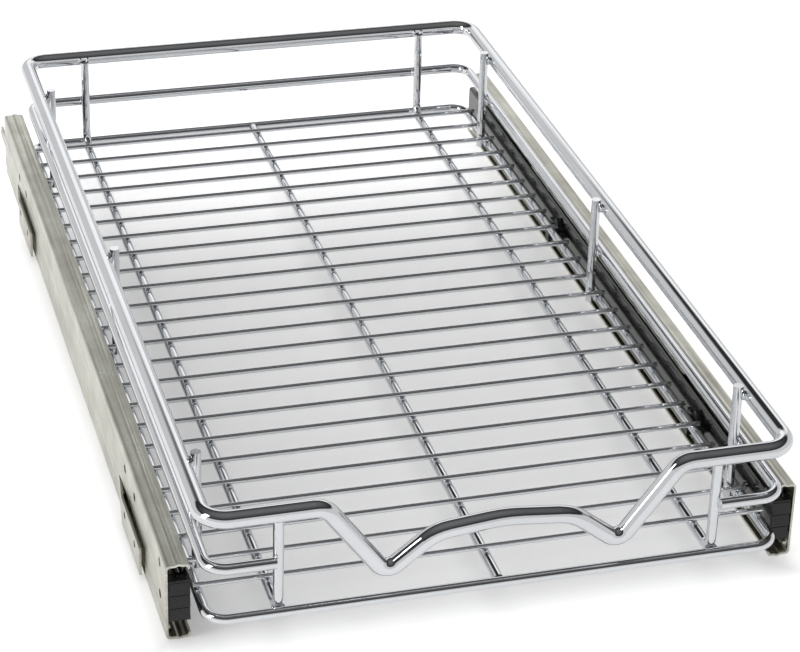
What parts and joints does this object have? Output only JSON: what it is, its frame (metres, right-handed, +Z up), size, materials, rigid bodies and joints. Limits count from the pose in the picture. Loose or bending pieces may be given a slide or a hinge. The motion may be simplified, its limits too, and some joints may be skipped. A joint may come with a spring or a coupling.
{
  "type": "pull-out cabinet basket",
  "caption": "Chromed wire basket with a dipped front rail that pulls out of a kitchen cabinet on ball-bearing side slides.",
  "frame": {"origin": "bottom centre of the whole part, at the underside of the slides, with the basket pushed in", "axes": "+X to the right seen from in front of the cabinet, +Y from the front of the cabinet to its back, +Z up; the basket pulls out toward -Y"},
  "size_m": [0.344, 0.5962, 0.0878],
  "materials": {
    "chromed_wire": "bright chrome plating over drawn and welded steel wire",
    "zinc_plated_steel": "clear zinc plating over cold-rolled steel strip, faint lengthwise rolling lines",
    "bearing_steel": "polished hardened steel",
    "black_plastic": "moulded black plastic, fine matt",
    "rivet_steel": "plain plated steel, slightly dull"
  },
  "bodies": {
    "cabinet_rails": {"left_cabinet_member": "zinc_plated_steel", "right_cabinet_member": "zinc_plated_steel"},
    "basket": {"top_rim": "chromed_wire", "middle_rail": "chromed_wire", "bottom_ring": "chromed_wire", "floor_wires": "chromed_wire", "left_runner": "chromed_wire", "centre_runner": "chromed_wire", "right_runner": "chromed_wire", "left_side_posts": "chromed_wire", "left_drawer_member": "zinc_plated_steel", "left_bumper": "black_plastic", "left_mounting_clips": "black_plastic", "left_clip_rivets": "rivet_steel", "right_side_posts": "chromed_wire", "right_drawer_member": "zinc_plated_steel", "right_bumper": "black_plastic", "right_mounting_clips": "black_plastic", "right_clip_rivets": "rivet_steel"},
    "left_middle": {"left_middle_member": "zinc_plated_steel"},
    "left_outer_cage": {"left_outer_ball_cage": "zinc_plated_steel", "left_outer_balls": "bearing_steel"},
    "left_inner_cage": {"left_inner_ball_cage": "zinc_plated_steel", "left_inner_balls": "bearing_steel"},
    "right_middle": {"right_middle_member": "zinc_plated_steel"},
    "right_outer_cage": {"right_outer_ball_cage": "zinc_plated_steel", "right_outer_balls": "bearing_steel"},
    "right_inner_cage": {"right_inner_ball_cage": "zinc_plated_steel", "right_inner_balls": "bearing_steel"}
  },
  "joints": [
    {"name": "basket_slide", "type": "slide", "parent": "cabinet_rails", "child": "basket", "axis": [0, -1, 0], "range_m": [0, 0.5]},
    {"name": "left_middle_slide", "type": "slide", "parent": "cabinet_rails", "child": "left_middle", "axis": [0, -1, 0], "range_m": [0, 0.25]},
    {"name": "left_outer_cage_slide", "type": "slide", "parent": "cabinet_rails", "child": "left_outer_cage", "axis": [0, -1, 0], "range_m": [0, 0.125]},
    {"name": "left_inner_cage_slide", "type": "slide", "parent": "cabinet_rails", "child": "left_inner_cage", "axis": [0, -1, 0], "range_m": [0, 0.375]},
    {"name": "right_middle_slide", "type": "slide", "parent": "cabinet_rails", "child": "right_middle", "axis": [0, -1, 0], "range_m": [0, 0.25]},
    {"name": "right_outer_cage_slide", "type": "slide", "parent": "cabinet_rails", "child": "right_outer_cage", "axis": [0, -1, 0], "range_m": [0, 0.125]},
    {"name": "right_inner_cage_slide", "type": "slide", "parent": "cabinet_rails", "child": "right_inner_cage", "axis": [0, -1, 0], "range_m": [0, 0.375]}
  ],
  "couplings": [
    {"joint": "left_middle_slide", "follows": "basket_slide", "ratio": 0.5},
    {"joint": "left_outer_cage_slide", "follows": "basket_slide", "ratio": 0.25},
    {"joint": "left_inner_cage_slide", "follows": "basket_slide", "ratio": 0.75},
    {"joint": "right_middle_slide", "follows": "basket_slide", "ratio": 0.5},
    {"joint": "right_outer_cage_slide", "follows": "basket_slide", "ratio": 0.25},
    {"joint": "right_inner_cage_slide", "follows": "basket_slide", "ratio": 0.75}
  ]
}
